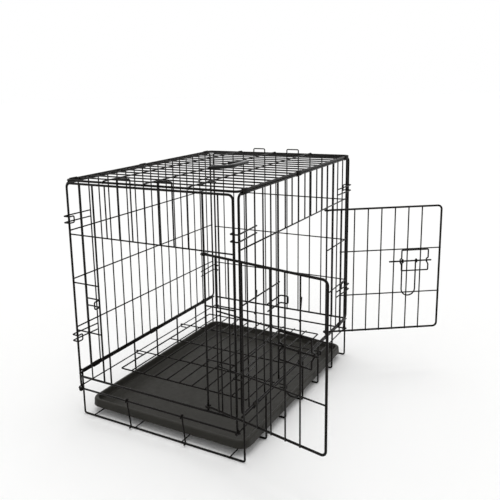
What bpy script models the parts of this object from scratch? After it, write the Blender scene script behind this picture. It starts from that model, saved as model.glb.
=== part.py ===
"""Folding wire dog cage with two doors, a pull-out tray and a carry handle.

Metres, +Z up. X is the cage's width, with the side door on the +X side, and Y its
length, with the front door on the -Y end. The origin is on the ground under the middle.
"""

import math

import bmesh
import bpy
from mathutils import Matrix, Vector

# Width and height of the cage, and length of its base
WIDTH = 0.434
LENGTH = 0.610
HEIGHT = 0.566

# Wires, as radii
FRAME_R = 0.0024
GRID_R = 0.0015
JAMB_R = 0.0020
BASE_R = 0.0022
LOOP_R = 0.0017
SINK = 0.00035
RAIL_CLEAR = 0.0004
GAP = 0.0003
FRAME_CORNER = 0.010
SMALL_CORNER = 0.0032

# Facets of the thick and the thin wires, and of their bends
THICK_SIDES = 8
THIN_SIDES = 6
BEND_STEPS = 2
SMALL_BEND_STEPS = 1
STRAIGHT_ABOVE = math.radians(175)
MERGE_DISTANCE = 0.00001
SMOOTH_BELOW = math.radians(50)

# Wire ends curled round a pin
EYE_CLEARANCE = 0.00035
EYE_OPENING = math.radians(62)
EYE_NECK = 0.014
EYE_STEPS = 6

# Base basket
RIM_Z = 0.106
END_RAIL_Z = 0.0735
CROSS_WIRES = 7
BASE_CORNER = 0.0048
BASE_BEND_STEPS = 1
FLOOR_WIRES_X = (0.0625, 0.182)

# Side panels, which are longer than the base
SIDE_OVERHANG = 0.0075
LEFT_SPACES = 18
RIGHT_SPACES = 17
SIDE_RAILS_Z = (0.222, 0.338, 0.4505)
SIDE_JAMBS = (5, 13)

# End panels, which hang outside the side panels' ends
END_SPACES = 12
END_OUT = 0.0080
END_SIDE_GAP = 0.0077
END_BOTTOM_Z = 0.104
END_RAILS_Z = (0.218, 0.332, 0.444)
END_JAMBS = (2, 10)
LOOP_PAIRS = ((4, 5), (7, 8))
LOOP_RISE = 0.0090

# Top panel
TOP_SPACES = 17
TOP_LONG_WIRES = 3
TOP_HOOK_DROP = 0.0058

# Corner hooks on the side panels
HOOK_CENTRES_Z = (0.1990, 0.477)
HOOK_HALF = 0.00725
HOOK_ACROSS = 0.0165
HOOK_RETURN = 0.0150

# Doors and the keepers that their bolts enter
DOOR_HEIGHT = 0.324
FRONT_DOOR_LIFT = 0.0086
SIDE_DOOR_LIFT = 0.0068
DOOR_RAILS = (0.098, 0.214)
DOOR_BARS = 7
DOOR_OVERLAP = 0.005
DOOR_LAST_SPACE = 0.052
KEEPER_HALF = 0.0083
KEEPER_OUT = 0.017
KEEPER_TAIL = 0.024
KEEPER_BEFORE_JAMB = 0.004
FRONT_DOOR_ANGLE = math.radians(348.2)
SIDE_DOOR_ANGLE = math.radians(36.0)

# Bolts
BOLT_HEIGHT = 0.180
BOLT_TIP_CLEARANCE = 0.010
BOLT_LENGTH = 0.112
BRACKET_WIDTH = 0.070
BRACKET_DROP = 0.0545
BRACKET_SHIFT = 0.010
ARCH_HALF = 0.0035
ARCH_FOOT = 0.0055
PULL_LEG_GAP = 0.036
PULL_DROP = 0.094
PULL_TIP_OUT = 0.0035
PULL_SHIFT = 0.002
PULL_STEPS = 6
SLEEVE_LENGTH = 0.005
SLEEVE_WALL = 0.0016

# Tray and its stops
TRAY_END_CLEARANCE = 0.0130
TRAY_SIDE_CLEARANCE = 0.0025
TRAY_HEIGHT = 0.0275
TRAY_WALL = 0.0018
TRAY_SKIRT_LIFT = 0.003
TRAY_DRAFT = 0.0012
TRAY_EDGE = 0.0014
TRAY_RIM = 0.007
TRAY_WALL_DRAFT = 0.0025
TRAY_LEDGE_SHARE = 0.45
TRAY_LEDGE_EDGE = 0.002
TRAY_LEDGE = 0.006
TRAY_SLOPE = 0.012
TRAY_CORNER = 0.026
TRAY_CORNER_STEPS = 3
TRAY_SHIFT = 0.002
STOPS_X = 0.0735
STOP_FOOT = 0.007
STOP_END_Z = 0.0045
STOP_OPEN_TILT = math.radians(12)

# Divider panel, stowed flat
DIVIDER_SPACES = 10
DIVIDER_PITCH = 0.03465
DIVIDER_SHIFT_X = -0.008
DIVIDER_FRONT_Y = -0.1998
DIVIDER_LENGTH = 0.4268
DIVIDER_R = 0.0017
DIVIDER_HOOK_DEPTH = 0.008
DIVIDER_HOOK_TAIL = 0.018
DIVIDER_HOOK_TURN = 0.0032
DIVIDER_CORNER = 0.0019

# Clips
CLIP_LENGTH = 0.022
CLIP_WALL = 0.0010
CLIP_LIP = 0.0011
# Places along the side panel, as shares of its half length
RIM_CLIPS_AT = (-0.812, -0.054, 0.812)
TOP_CLIPS_AT = (-0.923, -0.088, 0.923)

# Carry handle, with its feet just inside two of the top's cross wires
HANDLE_PITCHES = 3
HANDLE_FOOT_ROOM = 0.0080
HANDLE_REACH = 0.060
HANDLE_LEG_WIDTH = 0.0112
HANDLE_GRIP_WIDTH = 0.0150
HANDLE_THICKNESS = 0.0090
HANDLE_CORNER = 0.0140
HANDLE_CORNER_STEPS = 3
HANDLE_SIDES = 8
HANDLE_FOOT_LENGTH = 0.011
HANDLE_FOOT_WALL = 0.0026
HANDLE_FOOT_SIDES = 12
HANDLE_REST_TILT = math.radians(5.5)
HANDLE_BORE_CLEARANCE = 0.0004
HANDLE_BORE_SIDES = 10

# Planes that follow from the sizes above
BASE_X = WIDTH / 2 - BASE_R
BASE_Y = LENGTH / 2 - BASE_R
SIDE_X = WIDTH / 2 - FRAME_R
SIDE_Y = BASE_Y + SIDE_OVERHANG
SIDE_BOTTOM_Z = RIM_Z + 2 * FRAME_R + GAP
TOP_Z = HEIGHT - FRAME_R
SIDE_TOP_Z = TOP_Z - 2 * FRAME_R - GAP
END_Y = SIDE_Y + END_OUT
END_X = SIDE_X - END_SIDE_GAP
BASE_RAIL_X = BASE_X - BASE_R - GRID_R + SINK
BASE_RAIL_Z = END_RAIL_Z + BASE_R + GRID_R * math.cos(math.pi / THIN_SIDES) - SINK
RAIL_IN = FRAME_R - GRID_R
BAR_IN = FRAME_R + GRID_R - SINK
JAMB_IN = FRAME_R + JAMB_R - SINK
OUTSIDE = SINK - FRAME_R - GRID_R
ON_BAR = BAR_IN - 2 * GRID_R + SINK
RIGHT_PITCH = 2 * SIDE_Y / RIGHT_SPACES
END_PITCH = 2 * END_X / END_SPACES
TOP_PITCH = 2 * SIDE_Y / TOP_SPACES
# The cross wires lie on a flat, and thin a little where they start to bend
FLAT_R = BASE_R * math.cos(math.pi / THICK_SIDES) * math.cos(math.pi / 8 / BASE_BEND_STEPS)

COLLECTION = "dog_cage"


def material(name, colour, roughness, metallic=0.0, coat=0.0):
    """A Principled material with one colour."""
    made = bpy.data.materials.new(name)
    made.use_nodes = True
    shader = made.node_tree.nodes["Principled BSDF"]
    shader.inputs["Base Color"].default_value = (*colour, 1.0)
    shader.inputs["Roughness"].default_value = roughness
    shader.inputs["Metallic"].default_value = metallic
    shader.inputs["Coat Weight"].default_value = coat
    return made


def arc(centre, start, end, steps):
    """Points from start to end round a centre, the short way."""
    a = start - centre
    b = end - centre
    angle = a.angle(b)
    side = a.cross(b).cross(a).normalized() * a.length
    return [
        centre + a * math.cos(angle * i / steps) + side * math.sin(angle * i / steps)
        for i in range(steps + 1)
    ]


def rounded(points, radius, closed=False, steps=BEND_STEPS):
    """The corners of a path turned into arcs of one radius."""
    count = len(points)
    path = []
    for i, corner in enumerate(points):
        if not closed and i in (0, count - 1):
            path.append(corner)
            continue
        back = (points[i - 1] - corner).normalized()
        ahead = (points[(i + 1) % count] - corner).normalized()
        opening = back.angle(ahead)
        if opening > STRAIGHT_ABOVE:
            path.append(corner)
            continue
        trim = radius / math.tan(opening / 2)
        centre = corner + (back + ahead).normalized() * radius / math.sin(opening / 2)
        path += arc(centre, corner + back * trim, corner + ahead * trim, steps)
    return path


def mesh_object(name, mesh):
    """An object made of a mesh, in the cage's collection."""
    made = bpy.data.objects.new(name, mesh)
    bpy.data.collections[COLLECTION].objects.link(made)
    return made


def wire(points, radius, closed=False, turn=0.0):
    """A round wire along a path, as a closed mesh. Thin wires have fewer sides."""
    sides = THIN_SIDES if radius <= LOOP_R else THICK_SIDES
    curve = bpy.data.curves.new("wire", "CURVE")
    curve.dimensions = "3D"
    curve.bevel_depth = radius
    curve.bevel_resolution = (sides - 4) // 2
    curve.use_fill_caps = True
    spline = curve.splines.new("POLY")
    spline.points.add(len(points) - 1)
    spline.use_cyclic_u = closed
    for point, place in zip(spline.points, points):
        point.co = (*place, 1.0)
        point.tilt = turn
    drawn = mesh_object("wire", curve)
    mesh = evaluated_mesh(drawn)
    made = mesh_object("wire", mesh)
    made.matrix_world = drawn.matrix_world
    bpy.data.objects.remove(drawn)
    shape = bmesh.new()
    shape.from_mesh(mesh)
    bmesh.ops.remove_doubles(shape, verts=shape.verts, dist=MERGE_DISTANCE)
    shape.to_mesh(mesh)
    shape.free()
    return made


def evaluated_mesh(item):
    """A new mesh of an object as its modifiers or its curve make it."""
    bpy.context.view_layer.update()
    evaluated = item.evaluated_get(bpy.context.evaluated_depsgraph_get())
    return bpy.data.meshes.new_from_object(evaluated)


def facing(points, normal):
    """The turn that points an edge of a thin wire along a panel's normal, where wires cross."""
    along = (points[1] - points[0]).normalized()
    upright = abs(along.z) > 0.9
    edge = Vector((1, 0, 0)) if upright else along.cross(Vector((0, 0, 1)))
    return 0.0 if abs(edge.dot(normal)) > 0.5 else math.pi / THIN_SIDES


def panel_wire(place, points, radius, closed=False):
    """A wire of a panel, turned so that it meets the wires that it crosses edge to edge."""
    turn = facing(points, place(0, 0, 1) - place(0, 0, 0)) if radius <= LOOP_R else 0.0
    return wire(points, radius, closed, turn)


def path(place, corners, radius=SMALL_CORNER, closed=False, steps=SMALL_BEND_STEPS):
    """A rounded path from corners given in a panel's own directions."""
    return rounded([place(*corner) for corner in corners], radius, closed, steps)


def rod(place, start, end, radius):
    """A straight wire between two places of a panel."""
    return panel_wire(place, [place(*start), place(*end)], radius)


def joined(pieces):
    """Several meshes gathered into the first one's object."""
    gathered = bmesh.new()
    for piece in pieces:
        gathered.from_mesh(piece.data)
    gathered.to_mesh(pieces[0].data)
    gathered.free()
    for piece in pieces[1:]:
        bpy.data.objects.remove(piece)
    return pieces[0]


def weld(name, pieces, coating):
    """Wires that cross each other, united into one solid."""
    body = pieces[0]
    others = joined(pieces[1:])
    union = body.modifiers.new("weld", "BOOLEAN")
    union.operation = "UNION"
    union.solver = "EXACT"
    union.use_self = True
    union.object = others
    mesh = evaluated_mesh(body)
    bpy.data.objects.remove(body)
    bpy.data.objects.remove(others)
    return finished(name, mesh, coating)


def finished(name, mesh, coating):
    """A named piece with its own material and smooth round sides."""
    mesh.name = name
    mesh.materials.clear()
    mesh.materials.append(material(name, **coating))
    mesh.shade_smooth()
    mesh.set_sharp_from_angle(angle=SMOOTH_BELOW)
    return mesh_object(name, mesh)


def frame_loop(place, u_half, v_low, v_high):
    """The closed outer wire of a panel, in the panel's own plane."""
    corners = [(-u_half, v_low, 0), (u_half, v_low, 0), (u_half, v_high, 0), (-u_half, v_high, 0)]
    points = path(place, corners, FRAME_CORNER, closed=True, steps=BEND_STEPS)
    return panel_wire(place, points, FRAME_R, closed=True)


def bar(place, u, low, high, radius=GRID_R, frame_r=FRAME_R):
    """A grid wire behind the frame and the rails, welded onto what it crosses."""
    depth = frame_r + radius - SINK
    return rod(place, (u, low, depth), (u, high, depth), radius)


def rail(place, v, start, end, frame_r=FRAME_R, clear=0.0):
    """A grid wire in the frame, with its ends sunk into what it meets.

    One that is held at both ends can pass just clear of the bars, which saves facets.
    """
    depth = frame_r - GRID_R - clear
    return rod(place, (start, v, depth), (end, v, depth), GRID_R)


def corner_hook(place, v, end, pitch):
    """A hairpin from the second bar, over the stile and round in front of the end panel's stile."""
    tail = 2 * GRID_R
    lift = (ON_BAR - OUTSIDE) * tail / (2 * pitch)
    outer = END_Y + FRAME_R + GRID_R + GAP
    across = OUTSIDE + HOOK_ACROSS
    line = [
        (SIDE_Y - 2 * pitch - tail, ON_BAR + lift),
        (SIDE_Y, OUTSIDE),
        (outer, OUTSIDE),
        (outer, across),
        (outer - HOOK_RETURN, across),
    ]
    corners = [(end * u, v + HOOK_HALF, n) for u, n in line]
    corners += [(end * u, v - HOOK_HALF, n) for u, n in reversed(line)]
    return panel_wire(place, path(place, corners), GRID_R)


def keeper(place, v, u_tail, u_loop):
    """A hairpin on a jamb, with its closed end standing out for the bolt to enter."""
    corners = [
        (u_tail, v + KEEPER_HALF, RAIL_IN),
        (u_loop, v + KEEPER_HALF, RAIL_IN),
        (u_loop, v + KEEPER_HALF, -KEEPER_OUT),
        (u_loop, v - KEEPER_HALF, -KEEPER_OUT),
        (u_loop, v - KEEPER_HALF, RAIL_IN),
        (u_tail, v - KEEPER_HALF, RAIL_IN),
    ]
    return panel_wire(place, path(place, corners), GRID_R)


def side_hooks(place, pitch):
    """The four corner hooks of a side panel."""
    hooks = []
    for v in HOOK_CENTRES_Z:
        for end in (-1, 1):
            hooks.append(corner_hook(place, v, end, pitch))
    return hooks


def left_place(u, v, n):
    return Vector((-SIDE_X + n, u, v))


def right_place(u, v, n):
    return Vector((SIDE_X - n, u, v))


def front_place(u, v, n):
    return Vector((u, -END_Y + n, v))


def back_place(u, v, n):
    return Vector((-u, END_Y - n, v))


def top_place(u, v, n):
    return Vector((u, v, TOP_Z + n))


def door_place(u, v, n):
    return Vector((u, -n, v))


def left_side_panel(coating):
    pitch = 2 * SIDE_Y / LEFT_SPACES
    top = SIDE_TOP_Z + GRID_R
    wires = [frame_loop(left_place, SIDE_Y, SIDE_BOTTOM_Z, SIDE_TOP_Z)]
    wires += [rail(left_place, v, -SIDE_Y, SIDE_Y, clear=RAIL_CLEAR) for v in SIDE_RAILS_Z]
    for k in range(1, LEFT_SPACES):
        wires.append(bar(left_place, -SIDE_Y + k * pitch, SIDE_BOTTOM_Z - GRID_R, top))
    wires += side_hooks(left_place, pitch)
    return weld("left_side_panel", wires, coating)


def right_side_panel(coating):
    top = SIDE_TOP_Z + GRID_R
    bottom = SIDE_BOTTOM_Z - GRID_R
    near, far = (-SIDE_Y + k * RIGHT_PITCH for k in SIDE_JAMBS)
    wires = [frame_loop(right_place, SIDE_Y, SIDE_BOTTOM_Z, SIDE_TOP_Z)]
    wires.append(rail(right_place, SIDE_RAILS_Z[2], -SIDE_Y, SIDE_Y))
    for v in SIDE_RAILS_Z[:2]:
        wires.append(rail(right_place, v, -SIDE_Y, near))
        wires.append(rail(right_place, v, far, SIDE_Y))
    for k in range(1, RIGHT_SPACES):
        u = -SIDE_Y + k * RIGHT_PITCH
        over_door = SIDE_JAMBS[0] < k < SIDE_JAMBS[1]
        low = SIDE_RAILS_Z[2] - GRID_R if over_door else bottom
        wires.append(bar(right_place, u, low, top, JAMB_R if k in SIDE_JAMBS else GRID_R))
    wires += side_hooks(right_place, RIGHT_PITCH)
    loop = near + KEEPER_BEFORE_JAMB
    tail = near - RIGHT_PITCH - KEEPER_TAIL
    wires.append(keeper(right_place, side_door_bottom() + BOLT_HEIGHT, tail, loop))
    return weld("right_side_panel", wires, coating)


def eye(pin_radius, wire_radius):
    """A wire's end curled round a pin: places along and across the wire, from the tip on."""
    ring = pin_radius + EYE_CLEARANCE + wire_radius
    turn = 2 * math.pi - EYE_OPENING
    points = []
    for i in range(EYE_STEPS):
        angle = turn * (1 - i / EYE_STEPS)
        points.append((ring * math.cos(angle), ring * math.sin(angle)))
    return points


def end_frame(place):
    """The stiles and top wire of an end panel, hooked round the end rail at both feet."""
    hook = eye(BASE_R, FRAME_R)
    neck = END_RAIL_Z + EYE_NECK
    half = [(END_X, neck, 0), (END_X, SIDE_TOP_Z, 0)]
    corners = [(-u, v, n) for u, v, n in half] + half[::-1]
    points = [place(-END_X, END_RAIL_Z + along, across) for along, across in hook]
    points += path(place, corners, FRAME_CORNER, steps=BEND_STEPS)
    points += [place(END_X, END_RAIL_Z + along, across) for along, across in hook[::-1]]
    return wire(points, FRAME_R)


def end_panel(name, place, jambs, coating):
    """An end panel. With jambs, the space between them is left open for a door."""
    bottom = END_BOTTOM_Z - GRID_R
    over_door_z = END_RAILS_Z[2] - GRID_R
    top = SIDE_TOP_Z + GRID_R
    wires = [end_frame(place)]
    wires.append(rod(place, (-END_X, END_BOTTOM_Z, 0), (END_X, END_BOTTOM_Z, 0), FRAME_R))
    clear = 0.0 if jambs else RAIL_CLEAR
    wires.append(rail(place, END_RAILS_Z[2], -END_X, END_X, clear=clear))
    spot = [-END_X + k * END_PITCH for k in range(END_SPACES + 1)]
    for v in END_RAILS_Z[:2]:
        if jambs:
            wires.append(rail(place, v, -END_X, spot[jambs[0]]))
            wires.append(rail(place, v, spot[jambs[1]], END_X))
        else:
            wires.append(rail(place, v, -END_X, END_X, clear=RAIL_CLEAR))
    looped = [k for pair in LOOP_PAIRS for k in pair]
    for k in range(1, END_SPACES):
        if k in looped:
            continue
        over_door = bool(jambs) and jambs[0] < k < jambs[1]
        low = over_door_z if over_door else bottom
        is_jamb = bool(jambs) and k in jambs
        wires.append(bar(place, spot[k], low, top, JAMB_R if is_jamb else GRID_R))
    low = over_door_z if jambs else bottom
    for first, second in LOOP_PAIRS:
        high = HEIGHT + LOOP_RISE
        corners = [
            (spot[first], low, BAR_IN),
            (spot[first], high, BAR_IN),
            (spot[second], high, BAR_IN),
            (spot[second], low, BAR_IN),
        ]
        wires.append(panel_wire(place, path(place, corners), GRID_R))
    if jambs:
        near = spot[jambs[0]]
        tail = near - END_PITCH - GRID_R
        height = front_door_bottom() + BOLT_HEIGHT
        wires.append(keeper(place, height, tail, near + KEEPER_BEFORE_JAMB))
    return weld(name, wires, coating)


def top_panel(coating):
    """The top grid. Its long wires are hooked down over the frame at both ends."""
    wires = [frame_loop(top_place, SIDE_X, -SIDE_Y, SIDE_Y)]
    for k in range(1, TOP_SPACES):
        y = -SIDE_Y + k * TOP_PITCH
        wires.append(rail(top_place, y, -SIDE_X, SIDE_X, clear=RAIL_CLEAR))
    reach = SIDE_Y + FRAME_R + GRID_R - SINK
    low = BAR_IN - TOP_HOOK_DROP
    for k in range(1, TOP_LONG_WIRES + 1):
        u = -SIDE_X + 2 * SIDE_X * k / (TOP_LONG_WIRES + 1)
        corners = [(u, -reach, low), (u, -reach, BAR_IN), (u, reach, BAR_IN), (u, reach, low)]
        wires.append(panel_wire(top_place, path(top_place, corners), GRID_R))
    return weld("top_panel", wires, coating)


def ground_place(u, v, n):
    return Vector((u, v, n))


def base_basket(coating):
    """Cross wires bent up at both sides, with rims, rails and floor wires."""
    wires = []
    for k in range(CROSS_WIRES):
        y = -BASE_Y + 2 * BASE_Y * k / (CROSS_WIRES - 1)
        half = [(BASE_X, y, RIM_Z), (BASE_X, y, FLAT_R)]
        corners = [(-u, v, n) for u, v, n in half] + half[::-1]
        line = path(ground_place, corners, BASE_CORNER, steps=BASE_BEND_STEPS)
        wires.append(wire(line, BASE_R, turn=math.pi / THICK_SIDES))
    rim_end = SIDE_Y + FRAME_R
    rail_end = END_Y + GRID_R
    floor_end = BASE_Y + BASE_R + GRID_R
    floor_z = 2 * FLAT_R + GRID_R - SINK
    for side in (-1, 1):
        x = side * SIDE_X
        wires.append(rod(ground_place, (x, -rim_end, RIM_Z), (x, rim_end, RIM_Z), FRAME_R))
        x = side * BASE_RAIL_X
        line = [Vector((x, -rail_end, BASE_RAIL_Z)), Vector((x, rail_end, BASE_RAIL_Z))]
        wires.append(wire(line, GRID_R))
        for floor_x in FLOOR_WIRES_X:
            x = side * floor_x
            ends = [(x, -floor_end, floor_z), (x, floor_end, floor_z)]
            wires.append(rod(ground_place, *ends, GRID_R))
        y = side * END_Y
        wires.append(rod(ground_place, (-BASE_X, y, END_RAIL_Z), (BASE_X, y, END_RAIL_Z), BASE_R))
    return weld("base_basket", wires, coating)


def divider_panel(coating):
    """The loose dividing grid, stowed flat with two hooked wires on the base's rails."""
    cross_in = DIVIDER_R - GRID_R - RAIL_CLEAR
    plane_z = BASE_RAIL_Z + 2 * GRID_R + GAP - cross_in

    def place(u, v, n):
        return Vector((u, v, plane_z + n))

    half = DIVIDER_SPACES * DIVIDER_PITCH / 2
    left = DIVIDER_SHIFT_X - half
    right = DIVIDER_SHIFT_X + half
    back = DIVIDER_FRONT_Y + DIVIDER_LENGTH
    front = DIVIDER_FRONT_Y
    corners = [(left, front, 0), (right, front, 0), (right, back, 0), (left, back, 0)]
    wires = [panel_wire(place, path(place, corners, closed=True), DIVIDER_R, closed=True)]
    middle = (front + back) / 2
    wires.append(rail(place, middle, left, right, DIVIDER_R, RAIL_CLEAR))
    out = BASE_RAIL_X + DIVIDER_HOOK_TURN
    low = cross_in - DIVIDER_HOOK_DEPTH
    for quarter in (0.25, 0.75):
        y = front + quarter * DIVIDER_LENGTH
        corners = [
            (-out + DIVIDER_HOOK_TAIL, y, low),
            (-out, y, low),
            (-out, y, cross_in),
            (out, y, cross_in),
            (out, y, low),
            (out - DIVIDER_HOOK_TAIL, y, low),
        ]
        wires.append(panel_wire(place, path(place, corners, DIVIDER_CORNER), GRID_R))
    for k in range(1, DIVIDER_SPACES):
        x = left + k * DIVIDER_PITCH
        wires.append(bar(place, x, front - GRID_R, back + GRID_R, frame_r=DIVIDER_R))
    return weld("divider_panel", wires, coating)


def front_door_bottom():
    return END_BOTTOM_Z + FRONT_DOOR_LIFT


def side_door_bottom():
    return SIDE_BOTTOM_Z + SIDE_DOOR_LIFT


def latch_bracket(centre, outer):
    """A wire loop on two door bars, arched outwards on both sides to guide the bolt."""
    depth = BAR_IN - GRID_R - LOOP_R + SINK
    top = DOOR_RAILS[1] - GRID_R - LOOP_R - SINK
    bottom = top - BRACKET_DROP
    half = BRACKET_WIDTH / 2
    points = []
    for side, start, end in ((-1, bottom, top), (1, top, bottom)):
        u = centre + side * half
        rise = math.copysign(1, end - start)
        points += path(
            door_place,
            [(centre, start, depth), (u, start, depth), (u, BOLT_HEIGHT, depth)],
        )[1:-1]
        for far, n in ((-1, depth), (-1, outer), (1, outer), (1, depth)):
            reach = ARCH_HALF if n == outer else ARCH_HALF + ARCH_FOOT
            points.append(door_place(u, BOLT_HEIGHT + rise * far * reach, n))
        points += path(
            door_place,
            [(u, BOLT_HEIGHT, depth), (u, end, depth), (centre, end, depth)],
        )[1:-1]
    return panel_wire(door_place, points, LOOP_R, closed=True)


def door(name, pitch, coating):
    """A door in its own frame: hinge axis at the origin, width along X, outer face on +Y."""
    width = (SIDE_JAMBS[1] - SIDE_JAMBS[0]) * pitch + DOOR_OVERLAP
    first = (width - DOOR_LAST_SPACE) / DOOR_BARS
    hook = eye(JAMB_R, FRAME_R)
    top = DOOR_HEIGHT
    corners = [(EYE_NECK, 0, 0), (width, 0, 0), (width, top, 0), (EYE_NECK, top, 0)]
    outline = [door_place(along, 0, across) for along, across in hook]
    outline += path(door_place, corners, FRAME_CORNER, steps=BEND_STEPS)
    outline += [door_place(along, top, across) for along, across in hook[::-1]]
    wires = [wire(outline, FRAME_R)]
    for v in DOOR_RAILS:
        wires.append(rail(door_place, v, first - GRID_R, width))
    for k in range(1, DOOR_BARS + 1):
        wires.append(bar(door_place, k * first, -GRID_R, top + GRID_R))
    wires.append(latch_bracket(bolt_centre(pitch), bolt_depth() - GAP - JAMB_R - LOOP_R))
    return weld(name, wires, coating)


def bolt_depth():
    """How far the bolt lies in front of the door's plane, so that it clears the stile."""
    return -(FRAME_R + GAP + JAMB_R)


def bolt_tip(pitch):
    """The bolt's free end with the bolt drawn back."""
    loop = (SIDE_JAMBS[1] - SIDE_JAMBS[0]) * pitch - KEEPER_BEFORE_JAMB
    return loop - BOLT_TIP_CLEARANCE


def bolt_centre(pitch):
    """The middle of the latch bracket along the door."""
    return bolt_tip(pitch) - BOLT_LENGTH / 2 + BRACKET_SHIFT


def bolt(name, parent, pitch, coating):
    """A bolt rod, with its origin at its middle, drawn back from the keeper."""
    half = BOLT_LENGTH / 2
    made = wire([Vector((-half, 0, 0)), Vector((half, 0, 0))], JAMB_R)
    mesh = made.data
    bpy.data.objects.remove(made)
    made = finished(name, mesh, coating)
    made.parent = parent
    made.location = door_place(bolt_tip(pitch) - half, BOLT_HEIGHT, bolt_depth())
    return made


def sleeve(x):
    """A short tube round the bolt, turned from its wall's outline."""
    inner = JAMB_R + GAP
    outer = inner + SLEEVE_WALL
    half = SLEEVE_LENGTH / 2
    outline = bmesh.new()
    corners = ((half, inner), (half, outer), (-half, outer), (-half, inner))
    points = [outline.verts.new((x + along, 0, out)) for along, out in corners]
    for k in range(4):
        outline.edges.new((points[k], points[(k + 1) % 4]))
    mesh = bpy.data.meshes.new("sleeve")
    outline.to_mesh(mesh)
    outline.free()
    profile = mesh_object("sleeve", mesh)
    turned = profile.modifiers.new("turned", "SCREW")
    turned.axis = "X"
    turned.steps = THICK_SIDES
    turned.render_steps = THICK_SIDES
    turned.use_merge_vertices = True
    turned.merge_threshold = MERGE_DISTANCE
    shape = bmesh.new()
    shape.from_mesh(evaluated_mesh(profile))
    bpy.data.objects.remove(profile)
    bmesh.ops.recalc_face_normals(shape, faces=shape.faces)
    ring = bpy.data.meshes.new("sleeve")
    shape.to_mesh(ring)
    shape.free()
    return mesh_object("sleeve", ring)


def bolt_handle(name, parent, coating):
    """A wire loop that hangs on the bolt by two sleeves, with its origin on the bolt's axis."""
    half = PULL_LEG_GAP / 2
    start = JAMB_R + GAP + SLEEVE_WALL / 2
    slope = PULL_TIP_OUT / PULL_DROP
    tip = PULL_DROP - half
    points = [Vector((-half, start * slope, -start)), Vector((-half, tip * slope, -tip))]
    for i in range(1, PULL_STEPS):
        angle = math.pi + math.pi * i / PULL_STEPS
        drop = tip - half * math.sin(angle)
        points.append(Vector((half * math.cos(angle), drop * slope, -drop)))
    points += [Vector((half, tip * slope, -tip)), Vector((half, start * slope, -start))]
    pieces = [wire(points, LOOP_R), sleeve(-half), sleeve(half)]
    made = weld(name, pieces, coating)
    made.parent = parent
    made.location = (-PULL_SHIFT, 0, 0)
    return made


def set_door(made, x, y, z, angle):
    made.location = (x, y, z)
    made.rotation_euler = (0, 0, angle)


def tray_ring(half_x, half_y, radius, z):
    """A rounded rectangle's points at one height."""
    steps = TRAY_CORNER_STEPS
    corners = [(half_x, half_y), (-half_x, half_y), (-half_x, -half_y), (half_x, -half_y)]
    points = []
    for i, (corner_x, corner_y) in enumerate(corners):
        centre_x = corner_x - math.copysign(radius, corner_x)
        centre_y = corner_y - math.copysign(radius, corner_y)
        for k in range(steps + 1):
            angle = math.pi / 2 * (i + k / steps)
            x = centre_x + radius * math.cos(angle)
            y = centre_y + radius * math.sin(angle)
            points.append((x, y, z))
    return points


def bridge(shape, rows):
    """Faces between rings of points that follow each other."""
    for low, high in zip(rows, rows[1:]):
        count = len(low)
        for k in range(count):
            n = (k + 1) % count
            shape.faces.new((low[k], low[n], high[n], high[k]))


def tray(coating):
    """A thin moulded tray: skirt, flat rim, stepped inner wall and floor."""
    half_x = BASE_X - BASE_R - TRAY_SIDE_CLEARANCE
    half_y = LENGTH / 2 - TRAY_END_CLEARANCE
    top_z = TRAY_HEIGHT - TRAY_WALL
    ledge_z = top_z * TRAY_LEDGE_SHARE
    ledge = TRAY_RIM + TRAY_WALL_DRAFT + TRAY_LEDGE_EDGE
    steps = (
        (0.0, TRAY_SKIRT_LIFT - TRAY_WALL),
        (TRAY_DRAFT, top_z - TRAY_EDGE),
        (TRAY_DRAFT + TRAY_EDGE, top_z),
        (TRAY_RIM, top_z),
        (TRAY_RIM + TRAY_WALL_DRAFT, ledge_z + TRAY_LEDGE_EDGE),
        (ledge, ledge_z),
        (ledge + TRAY_LEDGE, ledge_z),
        (ledge + TRAY_LEDGE + TRAY_SLOPE, 0.0),
    )
    shape = bmesh.new()
    rows = []
    for inset, z in steps:
        ring = tray_ring(half_x - inset, half_y - inset, TRAY_CORNER - inset / 2, z)
        rows.append([shape.verts.new(point) for point in ring])
    bridge(shape, rows)
    shape.faces.new(rows[-1])
    mesh = bpy.data.meshes.new("tray")
    shape.to_mesh(mesh)
    shape.free()
    made = finished("tray", mesh, coating)
    wall = made.modifiers.new("wall", "SOLIDIFY")
    wall.thickness = TRAY_WALL
    wall.offset = -1.0
    floor_top = 2 * FLAT_R + 2 * GRID_R - SINK
    made.location = (0, TRAY_SHIFT, floor_top + GAP + TRAY_WALL)
    return made


def tray_stop(name, x, end, tilt, coating):
    """A wire leg hung on an end rail by an open ring, with a short foot turned outwards."""
    reach = END_RAIL_Z - STOP_END_Z
    points = [Vector((0, across, -along)) for along, across in eye(BASE_R, LOOP_R)]
    points += rounded(
        [Vector((0, 0, -EYE_NECK)), Vector((0, 0, -reach)), Vector((0, -STOP_FOOT, -reach))],
        SMALL_CORNER,
        steps=SMALL_BEND_STEPS,
    )
    made = wire(points, LOOP_R)
    mesh = made.data
    bpy.data.objects.remove(made)
    made = finished(name, mesh, coating)
    made.location = (x, end * END_Y, END_RAIL_Z)
    made.rotation_euler = (-tilt, 0, 0 if end < 0 else math.pi)
    return made


def stop_closed_tilt():
    """The lean that keeps a hanging stop just outside the end's ground wire."""
    out = BASE_Y + BASE_R + GAP + LOOP_R - END_Y
    return math.atan2(out, END_RAIL_Z - BASE_R * 2)


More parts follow.
